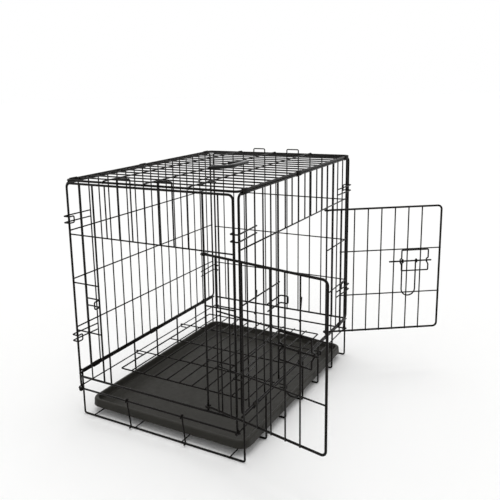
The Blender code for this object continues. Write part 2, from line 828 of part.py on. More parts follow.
def clip(name, x, y, low_z, high_z, coating):
    """A bent sheet clip round two stacked wires, open towards the cage."""
    inner = FRAME_R + GAP
    side = math.copysign(1, x)
    outline = [(-CLIP_LIP, high_z + inner)]
    for angle in (math.pi / 2, math.pi / 4, 0):
        outline.append((inner * math.cos(angle), high_z + inner * math.sin(angle)))
    for angle in (0, -math.pi / 4, -math.pi / 2):
        outline.append((inner * math.cos(angle), low_z + inner * math.sin(angle)))
    outline.append((-CLIP_LIP, low_z - inner))
    shape = bmesh.new()
    rows = []
    for end in (-CLIP_LENGTH / 2, CLIP_LENGTH / 2):
        rows.append([shape.verts.new((side * across, end, z)) for across, z in outline])
    for k in range(len(outline) - 1):
        face = (rows[0][k], rows[0][k + 1], rows[1][k + 1], rows[1][k])
        shape.faces.new(face if side > 0 else tuple(reversed(face)))
    mesh = bpy.data.meshes.new(name)
    shape.to_mesh(mesh)
    shape.free()
    made = finished(name, mesh, coating)
    made.location = (x, y, 0)
    wall = made.modifiers.new("wall", "SOLIDIFY")
    wall.thickness = CLIP_WALL
    wall.offset = 1.0
    return made


def clips(coating):
    """Three clips on each rim and three on each top edge."""
    for side, word in ((-1, "left"), (1, "right")):
        x = side * SIDE_X
        for share, spot in zip(RIM_CLIPS_AT, ("front", "middle", "back")):
            clip(f"{word}_rim_clip_{spot}", x, share * SIDE_Y, RIM_Z, SIDE_BOTTOM_Z, coating)
        for share, spot in zip(TOP_CLIPS_AT, ("front", "middle", "back")):
            clip(f"{word}_top_clip_{spot}", x, share * SIDE_Y, SIDE_TOP_Z, TOP_Z, coating)


def along_y(y):
    """A matrix that lays an upright cylinder along Y, with its middle at y."""
    return Matrix.Translation((0, y, 0)) @ Matrix.Rotation(math.pi / 2, 4, "X")


def cylinder(radius, length, y, sides):
    """A cylinder along Y."""
    shape = bmesh.new()
    bmesh.ops.create_cone(
        shape, cap_ends=True, segments=sides, radius1=radius, radius2=radius, depth=length
    )
    mesh = bpy.data.meshes.new("cylinder")
    shape.to_mesh(mesh)
    shape.free()
    mesh.transform(along_y(y))
    return mesh


def strap(points, widths):
    """A bar of oval section along a path in the YZ plane, as an object."""
    shape = bmesh.new()
    rows = []
    last = len(points) - 1
    flat = Vector((1, 0, 0))
    for i, (point, width) in enumerate(zip(points, widths)):
        along = (points[min(i + 1, last)] - points[max(i - 1, 0)]).normalized()
        across = along.cross(flat)
        ring = []
        for k in range(HANDLE_SIDES):
            angle = 2 * math.pi * (k + 0.5) / HANDLE_SIDES
            out = across * math.cos(angle) * width / 2
            ring.append(shape.verts.new(point + out + flat * math.sin(angle) * HANDLE_THICKNESS / 2))
        rows.append(ring)
    bridge(shape, rows)
    shape.faces.new(rows[0][::-1])
    shape.faces.new(rows[-1])
    bmesh.ops.recalc_face_normals(shape, faces=shape.faces)
    mesh = bpy.data.meshes.new("strap")
    shape.to_mesh(mesh)
    shape.free()
    return mesh_object("strap", mesh)


def carry_handle(coating):
    """A plastic arch on two feet that turn on the top's middle long wire."""
    half = HANDLE_PITCHES * TOP_PITCH / 2 - HANDLE_FOOT_ROOM
    bore = GRID_R + HANDLE_BORE_CLEARANCE
    top = HANDLE_REACH - HANDLE_GRIP_WIDTH / 2
    corners = [Vector((0, -half, bore / 2)), Vector((0, -half, top)), Vector((0, half, top))]
    corners.append(Vector((0, half, bore / 2)))
    points = rounded(corners, HANDLE_CORNER, steps=HANDLE_CORNER_STEPS)
    widths = [HANDLE_LEG_WIDTH] + [HANDLE_GRIP_WIDTH] * (len(points) - 2) + [HANDLE_LEG_WIDTH]
    pieces = [strap(points, widths)]
    outer = bore + HANDLE_FOOT_WALL
    for y in (-half, half):
        foot = cylinder(outer, HANDLE_FOOT_LENGTH, y, HANDLE_FOOT_SIDES)
        pieces.append(mesh_object("foot", foot))
    made = weld("carry_handle", pieces, coating)
    through = cylinder(bore, 2 * HANDLE_PITCHES * TOP_PITCH, 0, HANDLE_BORE_SIDES)
    cutter = bpy.data.objects.new("handle_bore", through)
    bpy.data.collections["cutters"].objects.link(cutter)
    cutter.hide_render = True
    cutter.display_type = "WIRE"
    cutter.parent = made
    cut = made.modifiers.new("bore", "BOOLEAN")
    cut.operation = "DIFFERENCE"
    cut.solver = "EXACT"
    cut.object = cutter
    made.location = (0, 0, TOP_Z + BAR_IN)
    made.rotation_euler = (0, math.pi / 2 - HANDLE_REST_TILT, 0)
    return made


def build():
    for old in list(bpy.data.objects):
        bpy.data.objects.remove(old)
    for name in (COLLECTION, "cutters"):
        group = bpy.data.collections.new(name)
        bpy.context.scene.collection.children.link(group)

    black_coat = {"colour": (0.012, 0.012, 0.013), "roughness": 0.25, "coat": 0.5}
    clip_steel = {"colour": (0.03, 0.03, 0.03), "roughness": 0.3, "metallic": 0.6}
    tray_plastic = {"colour": (0.045, 0.045, 0.042), "roughness": 0.5}
    handle_plastic = {"colour": (0.015, 0.015, 0.016), "roughness": 0.35}

    base_basket(black_coat)
    left_side_panel(black_coat)
    right_side_panel(black_coat)
    end_panel("front_end_panel", front_place, END_JAMBS, black_coat)
    end_panel("back_end_panel", back_place, None, black_coat)
    top_panel(black_coat)
    divider_panel(black_coat)
    clips(clip_steel)
    tray(tray_plastic)
    carry_handle(handle_plastic)

    front = door("front_door", END_PITCH, black_coat)
    hinge_x = -END_X + END_JAMBS[1] * END_PITCH
    set_door(front, hinge_x, -END_Y + JAMB_IN, front_door_bottom(), FRONT_DOOR_ANGLE)
    side = door("side_door", RIGHT_PITCH, black_coat)
    hinge_y = -SIDE_Y + SIDE_JAMBS[1] * RIGHT_PITCH
    set_door(side, SIDE_X - JAMB_IN, hinge_y, side_door_bottom(), SIDE_DOOR_ANGLE)
    for parent, word, pitch in ((front, "front", END_PITCH), (side, "side", RIGHT_PITCH)):
        rod_piece = bolt(f"{word}_bolt", parent, pitch, black_coat)
        bolt_handle(f"{word}_bolt_handle", rod_piece, black_coat)

    closed = stop_closed_tilt()
    opened = math.pi - STOP_OPEN_TILT
    for x, word in ((-STOPS_X, "left"), (STOPS_X, "right")):
        tray_stop(f"front_{word}_tray_stop", x, -1, closed, black_coat)
        tray_stop(f"back_{word}_tray_stop", x, 1, opened, black_coat)


build()
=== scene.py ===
"""Looks for the folding wire dog cage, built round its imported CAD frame. Metres, +Z up."""

import math

import bmesh
import bpy
from mathutils import Matrix, Vector


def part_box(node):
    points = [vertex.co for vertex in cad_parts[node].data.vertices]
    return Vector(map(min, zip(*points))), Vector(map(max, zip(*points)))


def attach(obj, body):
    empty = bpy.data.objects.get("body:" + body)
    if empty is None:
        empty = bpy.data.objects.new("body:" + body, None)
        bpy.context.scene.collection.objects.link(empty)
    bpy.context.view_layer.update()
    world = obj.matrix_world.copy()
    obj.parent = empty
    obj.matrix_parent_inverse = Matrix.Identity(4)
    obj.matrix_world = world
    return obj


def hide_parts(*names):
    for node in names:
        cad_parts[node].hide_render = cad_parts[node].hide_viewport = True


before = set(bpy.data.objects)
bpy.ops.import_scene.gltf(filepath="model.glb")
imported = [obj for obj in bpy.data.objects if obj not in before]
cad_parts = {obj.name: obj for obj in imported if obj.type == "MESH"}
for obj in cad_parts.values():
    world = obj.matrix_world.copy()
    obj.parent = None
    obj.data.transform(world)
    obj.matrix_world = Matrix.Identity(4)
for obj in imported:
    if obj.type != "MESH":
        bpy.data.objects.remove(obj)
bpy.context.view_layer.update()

# Camera at the photograph's viewing angle
CAMERA_PLACE = (0.77214, -1.34482, 0.7603)
CAMERA_RIGHT = (0.85159, 0.52334, -0.03009)
CAMERA_AHEAD = (-0.51729, 0.82966, -0.20994)
CAMERA_LENS = 46.1385
CAMERA_SENSOR = 36.0
CAMERA_SHIFT = (0.10159, -0.05557)

# Overall sizes
WIDTH = 0.434
LENGTH = 0.610
HEIGHT = 0.566

# Wires, as radii
FRAME_R = 0.0024
GRID_R = 0.0015
JAMB_R = 0.0020
BASE_R = 0.0022
LOOP_R = 0.0017
DIVIDER_R = 0.0017
COAT_DEPTH = 0.00012
SINK = 0.00035
GAP = 0.0003
FRAME_CORNER = 0.010
SMALL_CORNER = 0.0032
BASE_CORNER = 0.0048
TIGHT_CORNER = 0.0019
BEND_STEPS = 8
STRAIGHT_ABOVE = math.radians(175)
CHAMFER_LENGTH = 0.35
CHAMFER_SIZE = 0.7
WIRE_UNIT = 0.001
WIRE_DETAIL = 4
MERGE_DISTANCE = 0.000002

# Edges sharper than these, in degrees, stay sharp
WIRE_SMOOTH_BELOW = 60
TRAY_SMOOTH_BELOW = 40
CLIP_SMOOTH_BELOW = 35

# Base basket
RIM_Z = 0.106
END_RAIL_Z = 0.0735
CROSS_WIRES = 7
FLOOR_WIRES_X = (0.0625, 0.182)

# Side panels
SIDE_OVERHANG = 0.0075
LEFT_SPACES = 18
RIGHT_SPACES = 17
SIDE_RAILS_Z = (0.222, 0.338, 0.4505)
SIDE_JAMBS = (5, 13)
RAIL_STUB = 0.0022

# End panels
END_SPACES = 12
END_OUT = 0.0080
END_SIDE_GAP = 0.0077
END_BOTTOM_Z = 0.104
END_RAILS_Z = (0.218, 0.332, 0.444)
END_JAMBS = (2, 10)
LOOP_PAIRS = ((4, 5), (7, 8))
LOOP_RISE = 0.0090

# Top panel
TOP_SPACES = 17
TOP_LONG_WIRES = 3
TOP_HOOK_DROP = 0.0058

# Corner hooks
HOOK_CENTRES_Z = (0.1990, 0.477)
HOOK_HALF = 0.00725
HOOK_ACROSS = 0.0165
HOOK_RETURN = 0.0150

# Eyes curled round a pin
EYE_CLEARANCE = 0.00035
EYE_OPENING = math.radians(62)
EYE_NECK = 0.014
EYE_STEPS = 20

# Doors, keepers and bolts
DOOR_HEIGHT = 0.324
FRONT_DOOR_LIFT = 0.0086
SIDE_DOOR_LIFT = 0.0068
DOOR_RAILS = (0.098, 0.214)
DOOR_BARS = 7
DOOR_OVERLAP = 0.005
DOOR_LAST_SPACE = 0.052
KEEPER_HALF = 0.0083
KEEPER_OUT = 0.017
KEEPER_TAIL = 0.024
KEEPER_BEFORE_JAMB = 0.004
FRONT_DOOR_ANGLE = math.radians(348.2)
SIDE_DOOR_ANGLE = math.radians(36.0)
BOLT_HEIGHT = 0.180
BOLT_TIP_CLEARANCE = 0.010
BOLT_LENGTH = 0.112
BRACKET_WIDTH = 0.070
BRACKET_DROP = 0.0545
BRACKET_SHIFT = 0.010
ARCH_HALF = 0.0035
ARCH_FOOT = 0.0055
PULL_LEG_GAP = 0.036
PULL_DROP = 0.094
PULL_TIP_OUT = 0.0035
PULL_SHIFT = 0.002
RING_STEPS = 20
RING_TURN = math.radians(325)

# Tray and its stops
TRAY_END_CLEARANCE = 0.0130
TRAY_SIDE_CLEARANCE = 0.0025
TRAY_HEIGHT = 0.0275
TRAY_WALL = 0.0018
TRAY_SKIRT_LIFT = 0.0105
TRAY_LEDGE_SHARE = 0.45
TRAY_CORNER = 0.026
TRAY_LEAST_CORNER = 0.004
TRAY_CORNER_STEPS = 12
TRAY_BEND_STEPS = 5
# The section's corners: how far in from the outer edge, and how softly bent
TRAY_LIP = (0.0012, 0.0036)
TRAY_RIM = (0.0085, 0.0010)
TRAY_WALL_FOOT = (0.0098, 0.0012)
TRAY_LEDGE = (0.0170, 0.0014)
TRAY_FLOOR_EDGE = (0.0295, 0.0060)
TRAY_FLOOR = (0.0420, 0.0)
TRAY_SHIFT = 0.002
TRAY_SEAT_GAP = 0.0001
STOPS_X = 0.0735
STOP_FOOT = 0.007
STOP_END_Z = 0.0045
STOP_OPEN_TILT = math.radians(12)

# Divider panel
DIVIDER_SPACES = 10
DIVIDER_PITCH = 0.03465
DIVIDER_SHIFT_X = -0.008
DIVIDER_FRONT_Y = -0.1998
DIVIDER_LENGTH = 0.4268
DIVIDER_HOOK_DEPTH = 0.008
DIVIDER_HOOK_TAIL = 0.018
DIVIDER_HOOK_TURN = 0.0032
DIVIDER_HOOKS_AT = (0.25, 0.75)
RAIL_CLEAR = 0.0004

# Clips
CLIP_LENGTH = 0.022
CLIP_WALL = 0.0010
CLIP_LIP = 0.0011
CLIP_ARC_STEPS = 8
CLIP_BEVEL = 0.00025
CLIP_BEVEL_STEPS = 2
CLIP_BEVEL_ABOVE = math.radians(60)

# Carry handle
HANDLE_PITCHES = 3
HANDLE_FOOT_ROOM = 0.0080
HANDLE_REACH = 0.060
HANDLE_LEG_WIDTH = 0.0098
HANDLE_GRIP_WIDTH = 0.0150
HANDLE_THICKNESS = 0.0090
HANDLE_CORNER = 0.0140
HANDLE_BEND_ROOM = 0.0001
HANDLE_LEG_STEPS = 8
HANDLE_GRIP_STEPS = 40
HANDLE_SIDES = 24
HANDLE_ROUNDNESS = 2.8
HANDLE_CROWN = 0.0025
HANDLE_RIPPLES = 5
HANDLE_RIPPLE_DEPTH = 0.0009
HANDLE_RIPPLE_FADE = 4
HANDLE_GRIP_LEVEL = 0.7
HANDLE_FOOT_LENGTH = 0.011
HANDLE_FOOT_WALL = 0.0026
HANDLE_FOOT_SIDES = 32
HANDLE_FOOT_BEVEL = 0.0006
HANDLE_REST_TILT = math.radians(5.5)
HANDLE_BORE_CLEARANCE = 0.0004

# Studio
WORLD_LEVEL = 0.72
KEY_ENERGY = 1.0
KEY_SPREAD = math.radians(40)
KEY_WAY = (0.05, -0.10, -1.0)
FLOOR_SEEN_BY_PIECES = (0.38, 0.37, 0.34)
FLOOR_SEEN_DIRECTLY = (0.98, 0.98, 0.975)
FLOOR_HALF = 30.0
FLOOR_ROUGHNESS = 0.9
FLOOR_SHINE = 0.1

# Planes that follow from the sizes above
BASE_X = WIDTH / 2 - BASE_R
BASE_Y = LENGTH / 2 - BASE_R
SIDE_X = WIDTH / 2 - FRAME_R
SIDE_Y = BASE_Y + SIDE_OVERHANG
SIDE_BOTTOM_Z = RIM_Z + 2 * FRAME_R + GAP
TOP_Z = HEIGHT - FRAME_R
SIDE_TOP_Z = TOP_Z - 2 * FRAME_R - GAP
END_Y = SIDE_Y + END_OUT
END_X = SIDE_X - END_SIDE_GAP
BASE_RAIL_X = BASE_X - BASE_R - GRID_R + SINK
BASE_RAIL_Z = END_RAIL_Z + BASE_R + GRID_R - SINK
RAIL_IN = FRAME_R - GRID_R
BAR_IN = FRAME_R + GRID_R - SINK
JAMB_IN = FRAME_R + JAMB_R - SINK
OUTSIDE = SINK - FRAME_R - GRID_R
ON_BAR = BAR_IN - 2 * GRID_R + SINK
RIGHT_PITCH = 2 * SIDE_Y / RIGHT_SPACES
END_PITCH = 2 * END_X / END_SPACES
TOP_PITCH = 2 * SIDE_Y / TOP_SPACES


def camera():
    """The camera at the photograph's viewing angle."""
    data = bpy.data.cameras.new("camera")
    data.lens = CAMERA_LENS
    data.sensor_width = CAMERA_SENSOR
    data.shift_x, data.shift_y = CAMERA_SHIFT
    made = bpy.data.objects.new("camera", data)
    right = Vector(CAMERA_RIGHT)
    back = -Vector(CAMERA_AHEAD)
    up = back.cross(right)
    turn = Matrix((right, up, back)).transposed()
    made.matrix_world = Matrix.Translation(CAMERA_PLACE) @ turn.to_4x4()
    bpy.context.scene.collection.objects.link(made)
    bpy.context.scene.camera = made


# Materials

class Surface:
    """A Principled material with a few helpers for its procedural nodes."""

    def __init__(self, name):
        self.material = bpy.data.materials.new(name)
        self.material.use_nodes = True
        self.tree = self.material.node_tree
        self.shader = self.tree.nodes["Principled BSDF"]
        self.place = self.tree.nodes.new("ShaderNodeTexCoord").outputs["Object"]

    def value(self, socket, amount):
        """Set one of the shader's own sockets."""
        self.shader.inputs[socket].default_value = amount

    def noise(self, scale, detail=3.0, stretch=None):
        """A noise pattern in the piece's own space, finer in a direction that is stretched."""
        made = self.tree.nodes.new("ShaderNodeTexNoise")
        made.inputs["Scale"].default_value = scale
        made.inputs["Detail"].default_value = detail
        place = self.place
        if stretch:
            mapping = self.tree.nodes.new("ShaderNodeMapping")
            mapping.inputs["Scale"].default_value = stretch
            self.tree.links.new(place, mapping.inputs["Vector"])
            place = mapping.outputs["Vector"]
        self.tree.links.new(place, made.inputs["Vector"])
        return made.outputs["Fac"]

    def spread(self, pattern, low, high, start=0.3, end=0.7):
        """A pattern's middle range mapped onto low to high."""
        made = self.tree.nodes.new("ShaderNodeMapRange")
        made.inputs["From Min"].default_value = start
        made.inputs["From Max"].default_value = end
        made.inputs["To Min"].default_value = low
        made.inputs["To Max"].default_value = high
        self.tree.links.new(pattern, made.inputs["Value"])
        return made.outputs["Result"]

    def colours(self, pattern, dark, light):
        """The base colour blended by a pattern."""
        made = self.tree.nodes.new("ShaderNodeMix")
        made.data_type = "RGBA"
        made.inputs["A"].default_value = (*dark, 1.0)
        made.inputs["B"].default_value = (*light, 1.0)
        self.tree.links.new(self.spread(pattern, 0.0, 1.0), made.inputs["Factor"])
        self.tree.links.new(made.outputs["Result"], self.shader.inputs["Base Color"])

    def link(self, output, socket):
        """Feed one of the shader's own sockets."""
        self.tree.links.new(output, self.shader.inputs[socket])

    def bump(self, *layers):
        """Bump from patterns given with a strength and a depth, one on the other."""
        normal = None
        for pattern, strength, depth in layers:
            made = self.tree.nodes.new("ShaderNodeBump")
            made.inputs["Strength"].default_value = strength
            made.inputs["Distance"].default_value = depth
            self.tree.links.new(pattern, made.inputs["Height"])
            if normal:
                self.tree.links.new(normal, made.inputs["Normal"])
            normal = made.outputs["Normal"]
        self.link(normal, "Normal")


def black_coat():
    """Glossy black electro-coat on drawn wire, with a faint orange peel."""
    made = Surface("black_coat")
    made.colours(made.noise(45.0), (0.0036, 0.0028, 0.0023), (0.0085, 0.0068, 0.0057))
    made.link(made.spread(made.noise(160.0, 4.0), 0.22, 0.40), "Roughness")
    made.value("Specular IOR Level", 0.10)
    made.bump((made.noise(900.0, 2.0), 0.25, 0.00012), (made.noise(140.0), 0.15, 0.0003))
    return made.material


def clip_steel():
    """Dark coated steel of the bent sheet clips, brushed along them and dulled in patches."""
    made = Surface("clip_steel")
    made.colours(made.noise(220.0, 4.0), (0.006, 0.0054, 0.0048), (0.036, 0.034, 0.031))
    made.value("Metallic", 0.80)
    made.value("Specular Tint", (0.15, 0.14, 0.13, 1.0))
    brushed = made.noise(500.0, 3.0, stretch=(1.0, 0.06, 1.0))
    made.link(made.spread(brushed, 0.12, 0.30), "Roughness")
    made.bump((brushed, 0.3, 0.00015))
    return made.material


def tray_plastic():
    """Dark grey moulded plastic with a fine leather grain."""
    made = Surface("tray_plastic")
    made.colours(made.noise(55.0, 6.0), (0.0245, 0.0231, 0.0190), (0.0300, 0.0284, 0.0238))
    made.link(made.spread(made.noise(90.0, 5.0), 0.42, 0.52), "Roughness")
    made.value("Specular IOR Level", 0.18)
    grain = made.noise(620.0, 2.0)
    made.bump((made.noise(70.0), 0.10, 0.0006), (grain, 0.45, 0.00035))
    return made.material


def handle_plastic():
    """Black moulded plastic with a fine sheen."""
    made = Surface("handle_plastic")
    made.colours(made.noise(120.0), (0.007, 0.007, 0.0072), (0.013, 0.013, 0.0132))
    made.link(made.spread(made.noise(300.0, 4.0), 0.16, 0.28), "Roughness")
    made.value("Specular IOR Level", 0.24)
    made.bump((made.noise(1100.0, 2.0), 0.3, 0.0002))
    return made.material


COAT = black_coat()
STEEL = clip_steel()
TRAY_GREY = tray_plastic()
HANDLE_BLACK = handle_plastic()


# Pieces

def piece(name, mesh, look, body, node, smooth_below=WIRE_SMOOTH_BELOW):
    """A finished piece that rides on a body and stands for a CAD node."""
    mesh.materials.clear()
    mesh.materials.append(look)
    mesh.shade_smooth()
    mesh.set_sharp_from_angle(angle=math.radians(smooth_below))
    made = bpy.data.objects.new(name, mesh)
    bpy.context.scene.collection.objects.link(made)
    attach(made, body)
    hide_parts(node)
    return made


def evaluated(data):
    """The mesh that a curve, or an object with modifiers, gives. The object is removed."""
    item = data
    if not isinstance(data, bpy.types.Object):
        item = bpy.data.objects.new("drawn", data)
        bpy.context.scene.collection.objects.link(item)
    bpy.context.view_layer.update()
    shown = item.evaluated_get(bpy.context.evaluated_depsgraph_get())
    mesh = bpy.data.meshes.new_from_object(shown)
    bpy.data.objects.remove(item)
    return mesh


def arc(centre, start, end, steps):
    """Points from start to end round a centre, the short way."""
    a = start - centre
    b = end - centre
    angle = a.angle(b)
    side = a.cross(b).cross(a).normalized() * a.length
    turned = (angle * i / steps for i in range(steps + 1))
    return [centre + a * math.cos(t) + side * math.sin(t) for t in turned]


def rounded(points, radius, closed=False):
    """The corners of a path turned into arcs of one radius."""
    count = len(points)
    path = []
    for i, corner in enumerate(points):
        if not closed and i in (0, count - 1):
            path.append(corner)
            continue
        back = (points[i - 1] - corner).normalized()
        ahead = (points[(i + 1) % count] - corner).normalized()
        opening = back.angle(ahead)
        if opening > STRAIGHT_ABOVE:
            path.append(corner)
            continue
        trim = radius / math.tan(opening / 2)
        centre = corner + (back + ahead).normalized() * radius / math.sin(opening / 2)
        path += arc(centre, corner + back * trim, corner + ahead * trim, BEND_STEPS)
    return path


class Wires:
    """Round wires of one node, drawn as one curve and kept as one mesh."""

    def __init__(self, place=None, coat=COAT_DEPTH):
        self.coat = coat
        self.place = place or (lambda u, v, n: Vector((u, v, n)))
        self.curve = bpy.data.curves.new("wires", "CURVE")
        self.curve.dimensions = "3D"
        self.curve.bevel_depth = WIRE_UNIT
        self.curve.bevel_resolution = WIRE_DETAIL
        self.curve.use_fill_caps = True

    def along(self, points, radius, closed=False):
        """A wire through points, with its free ends cut with a small chamfer."""
        sizes = [radius] * len(points)
        if not closed:
            first = (points[1] - points[0]).normalized() * radius * CHAMFER_LENGTH
            last = (points[-2] - points[-1]).normalized() * radius * CHAMFER_LENGTH
            points = [points[0], points[0] + first, *points[1:-1], points[-1] + last, points[-1]]
            end = [radius * CHAMFER_SIZE]
            sizes = end + [radius] * (len(points) - 2) + end
        spline = self.curve.splines.new("POLY")
        spline.points.add(len(points) - 1)
        spline.use_cyclic_u = closed
        for point, spot, size in zip(spline.points, points, sizes):
            point.co = (*spot, 1.0)
            point.radius = (size + self.coat) / WIRE_UNIT

    def bent(self, corners, radius=GRID_R, corner=SMALL_CORNER, closed=False):
        """A wire bent at corners given in the panel's own directions."""
        self.along(rounded([self.place(*c) for c in corners], corner, closed), radius, closed)

    def rod(self, start, end, radius=GRID_R):
        """A straight wire between two places given in the panel's own directions."""
        self.along([self.place(*start), self.place(*end)], radius)

    def loop(self, u_half, low, high, radius=FRAME_R, corner=FRAME_CORNER):
        """The closed outer wire of a panel."""
        corners = [(-u_half, low, 0), (u_half, low, 0), (u_half, high, 0), (-u_half, high, 0)]
        self.bent(corners, radius, corner, closed=True)

    def bar(self, u, low, high, radius=GRID_R, frame_r=FRAME_R):
        """A grid wire behind the frame."""
        depth = frame_r + radius - SINK
        self.rod((u, low, depth), (u, high, depth), radius)

    def rail(self, v, start, end, depth=RAIL_IN):
        """A grid wire in the frame."""
        self.rod((start, v, depth), (end, v, depth))

    def made(self, name, body, node, matrix=None):
        """The piece itself, moved from its own directions to its place."""
        mesh = evaluated(self.curve)
        if matrix is not None:
            mesh.transform(matrix)
        shape = bmesh.new()
        shape.from_mesh(mesh)
        bmesh.ops.remove_doubles(shape, verts=shape.verts, dist=MERGE_DISTANCE)
        bmesh.ops.recalc_face_normals(shape, faces=shape.faces)
        shape.to_mesh(mesh)
        shape.free()
        return piece(name, mesh, COAT, body, node)


def left_place(u, v, n):
    return Vector((-SIDE_X + n, u, v))


def right_place(u, v, n):
    return Vector((SIDE_X - n, u, v))


def front_place(u, v, n):
    return Vector((u, -END_Y + n, v))


def back_place(u, v, n):
    return Vector((-u, END_Y - n, v))


def top_place(u, v, n):
    return Vector((u, v, TOP_Z + n))


def door_place(u, v, n):
    return Vector((u, -n, v))


def corner_hooks(wires, pitch):
    """Hairpins from the second bars, over the stiles and round in front of the end panels."""
    tail = 2 * GRID_R
    lift = (ON_BAR - OUTSIDE) * tail / (2 * pitch)
    outer = END_Y + FRAME_R + GRID_R + GAP
    across = OUTSIDE + HOOK_ACROSS
    line = [
        (SIDE_Y - 2 * pitch - tail, ON_BAR + lift),
        (SIDE_Y, OUTSIDE),
        (outer, OUTSIDE),
        (outer, across),
        (outer - HOOK_RETURN, across),
    ]
    for v in HOOK_CENTRES_Z:
        for end in (-1, 1):
            corners = [(end * u, v + HOOK_HALF, n) for u, n in line]
            corners += [(end * u, v - HOOK_HALF, n) for u, n in reversed(line)]
            wires.bent(corners)


def keeper(wires, v, u_tail, u_loop):
    """A hairpin on a jamb, with its closed end standing out for the bolt to enter."""
    half = [(u_tail, RAIL_IN), (u_loop, RAIL_IN), (u_loop, -KEEPER_OUT)]
    corners = [(u, v + KEEPER_HALF, n) for u, n in half]
    corners += [(u, v - KEEPER_HALF, n) for u, n in reversed(half)]
    wires.bent(corners)


def left_side_panel():
    """The plain side grid with its corner hooks."""
    pitch = 2 * SIDE_Y / LEFT_SPACES
    wires = Wires(left_place)
    wires.loop(SIDE_Y, SIDE_BOTTOM_Z, SIDE_TOP_Z)
    for v in SIDE_RAILS_Z:
        wires.rail(v, -SIDE_Y - RAIL_STUB, SIDE_Y + RAIL_STUB)
    for k in range(1, LEFT_SPACES):
        wires.bar(-SIDE_Y + k * pitch, SIDE_BOTTOM_Z - GRID_R, SIDE_TOP_Z + GRID_R)
    corner_hooks(wires, pitch)
    wires.made("left_side_wires", "cage", "left_side_panel")


def right_side_panel():
    """The side grid with the side door's opening, its keeper and the corner hooks."""
    near, far = (-SIDE_Y + k * RIGHT_PITCH for k in SIDE_JAMBS)
    end = SIDE_Y + RAIL_STUB
    wires = Wires(right_place)
    wires.loop(SIDE_Y, SIDE_BOTTOM_Z, SIDE_TOP_Z)
    wires.rail(SIDE_RAILS_Z[2], -end, end)
    for v in SIDE_RAILS_Z[:2]:
        wires.rail(v, -end, near)
        wires.rail(v, far, end)
    for k in range(1, RIGHT_SPACES):
        over_door = SIDE_JAMBS[0] < k < SIDE_JAMBS[1]
        low = SIDE_RAILS_Z[2] - GRID_R if over_door else SIDE_BOTTOM_Z - GRID_R
        radius = JAMB_R if k in SIDE_JAMBS else GRID_R
        wires.bar(-SIDE_Y + k * RIGHT_PITCH, low, SIDE_TOP_Z + GRID_R, radius)
    corner_hooks(wires, RIGHT_PITCH)
    height = SIDE_BOTTOM_Z + SIDE_DOOR_LIFT + BOLT_HEIGHT
    keeper(wires, height, near - RIGHT_PITCH - KEEPER_TAIL, near + KEEPER_BEFORE_JAMB)
    wires.made("right_side_wires", "cage", "right_side_panel")


def eye(pin_radius, wire_radius):
    """A wire's end curled round a pin: places along and across the wire, from the tip on."""
    ring = pin_radius + EYE_CLEARANCE + wire_radius
    turn = 2 * math.pi - EYE_OPENING
    angles = [turn * (1 - i / EYE_STEPS) for i in range(EYE_STEPS)]
    return [(ring * math.cos(angle), ring * math.sin(angle)) for angle in angles]


def hooked_frame(wires, place, pin_radius, foot, corners):
    """A frame wire through corners, with both ends curled round a pin.

    The function foot gives the place of a point of either eye, along and across the wire.
    """
    hook = eye(pin_radius, FRAME_R)
    points = [foot(-1, along, across) for along, across in hook]
    points += rounded([place(*c) for c in corners], FRAME_CORNER)
    points += [foot(1, along, across) for along, across in hook[::-1]]
    wires.along(points, FRAME_R)


def end_panel(name, node, place, jambs):
    """An end panel. With jambs, the space between them is left open for a door."""
    bottom = END_BOTTOM_Z - GRID_R
    top = SIDE_TOP_Z + GRID_R
    wires = Wires(place)
    neck = END_RAIL_Z + EYE_NECK
    half = [(END_X, neck, 0), (END_X, SIDE_TOP_Z, 0)]
    corners = [(-u, v, n) for u, v, n in half] + half[::-1]

    def foot(side, along, across):
        return place(side * END_X, END_RAIL_Z + along, across)

    hooked_frame(wires, place, BASE_R, foot, corners)
    wires.rod((-END_X, END_BOTTOM_Z, 0), (END_X, END_BOTTOM_Z, 0), FRAME_R)
    end = END_X + RAIL_STUB
    wires.rail(END_RAILS_Z[2], -end, end)
    spot = [-END_X + k * END_PITCH for k in range(END_SPACES + 1)]
    for v in END_RAILS_Z[:2]:
        if jambs:
            wires.rail(v, -end, spot[jambs[0]])
            wires.rail(v, spot[jambs[1]], end)
        else:
            wires.rail(v, -end, end)
    looped = [k for pair in LOOP_PAIRS for k in pair]
    over_door_z = END_RAILS_Z[2] - GRID_R
    for k in range(1, END_SPACES):
        if k in looped:
            continue
        over_door = bool(jambs) and jambs[0] < k < jambs[1]
        radius = JAMB_R if jambs and k in jambs else GRID_R
        wires.bar(spot[k], over_door_z if over_door else bottom, top, radius)
    low = over_door_z if jambs else bottom
    high = HEIGHT + LOOP_RISE
    for first, second in LOOP_PAIRS:
        corners = [(spot[first], low), (spot[first], high), (spot[second], high), (spot[second], low)]
        wires.bent([(u, v, BAR_IN) for u, v in corners])
    if jambs:
        near = spot[jambs[0]]
        height = END_BOTTOM_Z + FRONT_DOOR_LIFT + BOLT_HEIGHT
        keeper(wires, height, near - END_PITCH - GRID_R, near + KEEPER_BEFORE_JAMB)
    wires.made(name, "cage", node)


def top_panel():
    """The top grid. Its long wires are hooked down over the frame at both ends."""
    wires = Wires(top_place)
    wires.loop(SIDE_X, -SIDE_Y, SIDE_Y)
    end = SIDE_X + RAIL_STUB / 2
    for k in range(1, TOP_SPACES):
        wires.rail(-SIDE_Y + k * TOP_PITCH, -end, end)
    reach = SIDE_Y + FRAME_R + GRID_R - SINK
    low = BAR_IN - TOP_HOOK_DROP
    for k in range(1, TOP_LONG_WIRES + 1):
        u = -SIDE_X + 2 * SIDE_X * k / (TOP_LONG_WIRES + 1)
        wires.bent([(u, -reach, low), (u, -reach, BAR_IN), (u, reach, BAR_IN), (u, reach, low)])
    wires.made("top_wires", "cage", "top_panel")


